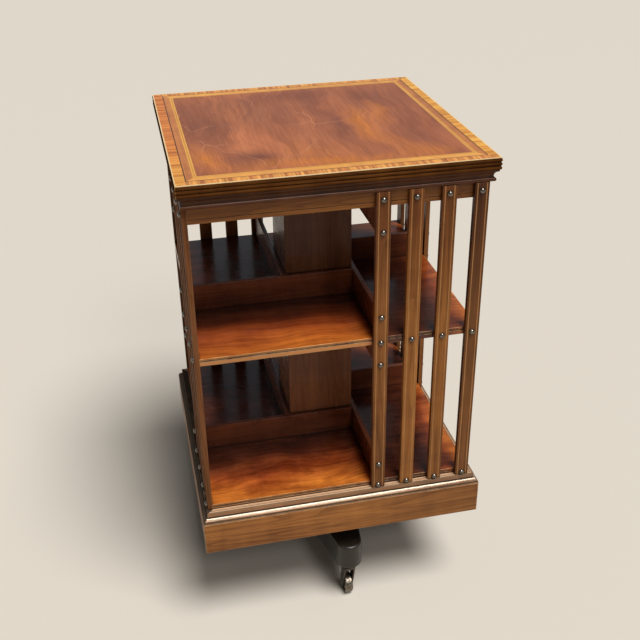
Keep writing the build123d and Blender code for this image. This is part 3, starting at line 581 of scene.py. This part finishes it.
shade, dusk, ember = (0.12, 0.032, 0.020), (0.27, 0.094, 0.044), (0.72, 0.220, 0.018)
for middle, reach, turn, colour, amount in (
        ((-0.175, 0.02), (0.055, 0.16), 8, shade, 0.85), ((-0.12, -0.17), (0.05, 0.06), 20, shade, 0.85),
        ((0.035, -0.03), (0.028, 0.20), 6, shade, 0.6), ((0.14, 0.13), (0.09, 0.09), -10, shade, 0.6),
        ((0.165, -0.07), (0.03, 0.14), -4, shade, 0.5), ((-0.05, 0.16), (0.12, 0.06), 0, shade, 0.45),
        ((-0.185, -0.15), (0.035, 0.09), 4, ember, 0.8), ((0.085, -0.03), (0.035, 0.13), 4, ember, 0.95),
        ((0.125, 0.03), (0.022, 0.10), 0, ember, 0.8), ((0.115, -0.14), (0.03, 0.10), 5, ember, 0.5),
        ((-0.02, -0.15), (0.08, 0.07), 0, ember, 0.35), ((-0.09, 0.08), (0.10, 0.12), 0, dusk, 0.6),
        ((-0.02, -0.205), (0.17, 0.04), 0, ember, 0.75), ((0.15, -0.19), (0.06, 0.04), 0, ember, 0.6)):
    figure = plume(figure, middle, reach, turn, colour, amount)
figure = mixed(tree, spread(tree, flames, 0.5, 0.78, 0.0, 0.4), figure, (0.18, 0.048, 0.020, 1))
figure = mixed(tree, spread(tree, ribbons, 0.42, 0.66, 0.0, 0.34), figure, (0.20, 0.052, 0.022, 1))
figure = mixed(tree, spread(tree, fibres, 0.45, 0.75, 0.0, 0.4), figure, (0.17, 0.044, 0.012, 1))
wriggle = put(tree, "ShaderNodeTexNoise", {"Vector": place, "Scale": 30.0, "Detail": 2.0}).outputs[1]
wriggling = put(tree, "ShaderNodeVectorMath", {0: wriggle, 1: (0.026, 0.026, 0.0), 2: bent},
                operation="MULTIPLY_ADD").outputs[0]
drawn_out = put(tree, "ShaderNodeMapping", {"Vector": wriggling, "Scale": (13, 7, 7)}).outputs[0]
crazing = put(tree, "ShaderNodeTexVoronoi", {"Vector": drawn_out, "Scale": 1.0},
              voronoi_dimensions="2D", feature="DISTANCE_TO_EDGE").outputs["Distance"]
few = spread(tree, streaks(tree, place, (10, 10, 10), 2), 0.47, 0.55)
crack_edge, crack_core, crack_pink = 0.015, 0.004, (0.60, 0.24, 0.11, 1)
mostly_left = spread(tree, parted(tree, place)[0], 0.14, 0.02, 0.1, 0.6)
cracks = reckon(tree, "MULTIPLY", spread(tree, crazing, crack_edge, crack_core), few)
cracked = mixed(tree, reckon(tree, "MULTIPLY", cracks, mostly_left), figure, crack_pink)
lay_on(tree, shader, cracked, fibres, (0.28, 0.4))
dress(panel, "top_panel")


# Pivot plate: a cast disc screwed under the top board, whose blind socket turns on the
# pin and carries the case. It is out of sight above the columns.
dress(iron, "pivot_plate")
dress(steel, "pivot_screws")


# Studio: a plain pale floor, a broad soft lamp high at the front right, a small one lower
# in front and weak even light all round.
floor_half = 20.0
floor_form = bmesh.new()
bmesh.ops.create_grid(floor_form, x_segments=1, y_segments=1, size=floor_half)
floor_mesh = bpy.data.meshes.new("studio_floor")
floor_form.to_mesh(floor_mesh)
floor_form.free()
floor = bpy.data.objects.new("studio_floor", floor_mesh)
bpy.context.scene.collection.objects.link(floor)
floor_paint = new_material("floor_paint", Base_Color=(0.70, 0.64, 0.55, 1), Roughness=0.75)[0]
floor_mesh.materials.append(floor_paint)

for name, strength, softness, direction in (("key", 3.1, 26, (0.198, -0.373, 0.906)),
                                            ("front", 0.42, 14, (0.14, -0.72, 0.67))):
    lamp = bpy.data.lights.new(f"{name}_lamp", "SUN")
    lamp.energy = strength
    lamp.angle = math.radians(softness)
    lamp_object = bpy.data.objects.new(f"{name}_lamp", lamp)
    lamp_object.rotation_mode = "QUATERNION"
    lamp_object.rotation_quaternion = Vector(direction).to_track_quat("Z", "Y")
    bpy.context.scene.collection.objects.link(lamp_object)

even_light, backdrop = (0.10, 0.098, 0.095, 1), (0.27, 0.30, 0.33, 1)
world = bpy.data.worlds.new("studio")
world.use_nodes = True
bpy.context.scene.world = world
sky = world.node_tree
rays = put(sky, "ShaderNodeLightPath").outputs
seen = reckon(sky, "MAXIMUM", rays["Is Camera Ray"], rays["Is Glossy Ray"])
seen = reckon(sky, "MAXIMUM", seen, rays["Is Transmission Ray"])
sky.links.new(mixed(sky, seen, even_light, backdrop), sky.nodes["Background"].inputs["Color"])


# Camera: stood where the photograph was taken, a little left of the front and above the
# top, looking down, with a lens that gives the photograph's frame.
stand, focal_length, photo_width, sensor_width = (-0.3125, -1.5191, 1.353), 930, 640, 36
yaw, pitch, roll = math.radians(12.12), math.radians(29.01), math.radians(-0.90)
looks = Vector((math.sin(yaw) * math.cos(pitch), math.cos(yaw) * math.cos(pitch), -math.sin(pitch)))
right = Vector((math.cos(yaw), -math.sin(yaw), 0))
above = right.cross(looks)
tilted_right = math.cos(roll) * right + math.sin(roll) * above
tilted_above = math.cos(roll) * above - math.sin(roll) * right
camera = bpy.data.objects.new("photograph_camera", bpy.data.cameras.new("photograph_camera"))
camera.data.lens = sensor_width * focal_length / photo_width
turn = Matrix((tilted_right, tilted_above, -looks)).transposed()
camera.matrix_world = Matrix.Translation(stand) @ turn.to_4x4()
bpy.context.scene.collection.objects.link(camera)
bpy.context.scene.camera = camera
bpy.context.scene.view_settings.view_transform = "Standard"
